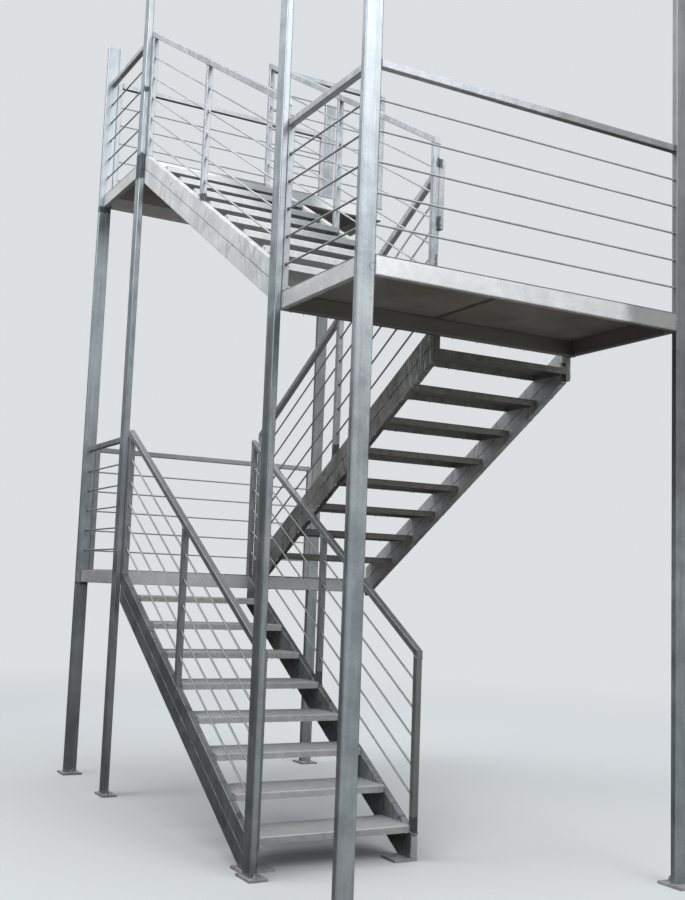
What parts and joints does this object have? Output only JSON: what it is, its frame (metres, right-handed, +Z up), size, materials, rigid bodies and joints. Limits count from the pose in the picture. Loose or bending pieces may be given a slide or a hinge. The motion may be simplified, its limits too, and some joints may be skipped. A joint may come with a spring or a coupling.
{
  "type": "fire escape stair",
  "caption": "Free-standing galvanised steel fire escape stair with straight flights turning back at a platform and at landings, hollow-section columns, sheet treads and barred railings",
  "frame": {"origin": "on the ground, under the middle of the outline that the base plates make", "axes": "+Z up; +X along the flights towards the platform end, which is the end nearest the viewer; +Y towards the house wall"},
  "size_m": [4.69, 2.27, 6.1],
  "materials": {
    "galvanised_columns": "hot-dip galvanised hollow section, mottled mid grey with lighter rounded edges",
    "galvanised_beams": "hot-dip galvanised hollow section, pale and cloudy",
    "galvanised_plates": "hot-dip galvanised plate, dull and dirty at the ground",
    "galvanised_decks": "hot-dip galvanised sheet, dull underside",
    "galvanised_treads": "hot-dip galvanised folded sheet, light rough and mottled",
    "galvanised_stringers": "hot-dip galvanised hollow sections welded one on the other, pale with dull weld marks",
    "galvanised_rails": "hot-dip galvanised square tube and round bar, dark zinc paint at the site welds"
  },
  "bodies": {
    "root": {"near_outer_column": "galvanised_columns", "near_wall_column": "galvanised_columns", "near_middle_column": "galvanised_columns", "far_outer_column": "galvanised_columns", "far_wall_column": "galvanised_columns", "far_middle_column": "galvanised_columns", "column_caps": "galvanised_columns", "base_plates": "galvanised_plates", "stringer_foot_plates": "galvanised_plates", "platform_cross_beams": "galvanised_beams", "platform_side_beams": "galvanised_beams", "platform_deck_outer": "galvanised_decks", "platform_deck_wall": "galvanised_decks", "lower_landing_cross_beams": "galvanised_beams", "lower_landing_side_beams": "galvanised_beams", "lower_landing_deck": "galvanised_decks", "upper_landing_cross_beams": "galvanised_beams", "upper_landing_side_beams": "galvanised_beams", "upper_landing_deck": "galvanised_decks", "lower_flight_outer_stringer": "galvanised_stringers", "lower_flight_inner_stringer": "galvanised_stringers", "lower_flight_treads": "galvanised_treads", "middle_flight_inner_stringer": "galvanised_stringers", "middle_flight_wall_stringer": "galvanised_stringers", "middle_flight_treads": "galvanised_treads", "middle_flight_hangers": "galvanised_beams", "upper_flight_outer_stringer": "galvanised_stringers", "upper_flight_inner_stringer": "galvanised_stringers", "upper_flight_treads": "galvanised_treads", "platform_near_rail": "galvanised_rails", "platform_outer_rail": "galvanised_rails", "lower_landing_outer_rail": "galvanised_rails", "lower_landing_far_rail": "galvanised_rails", "upper_landing_outer_rail": "galvanised_rails", "upper_landing_far_rail": "galvanised_rails", "upper_landing_near_rail": "galvanised_rails", "lower_flight_outer_rail": "galvanised_rails", "lower_flight_inner_rail": "galvanised_rails", "middle_flight_rail": "galvanised_rails", "upper_flight_outer_rail": "galvanised_rails", "upper_flight_inner_rail": "galvanised_rails"}
  },
  "joints": []
}
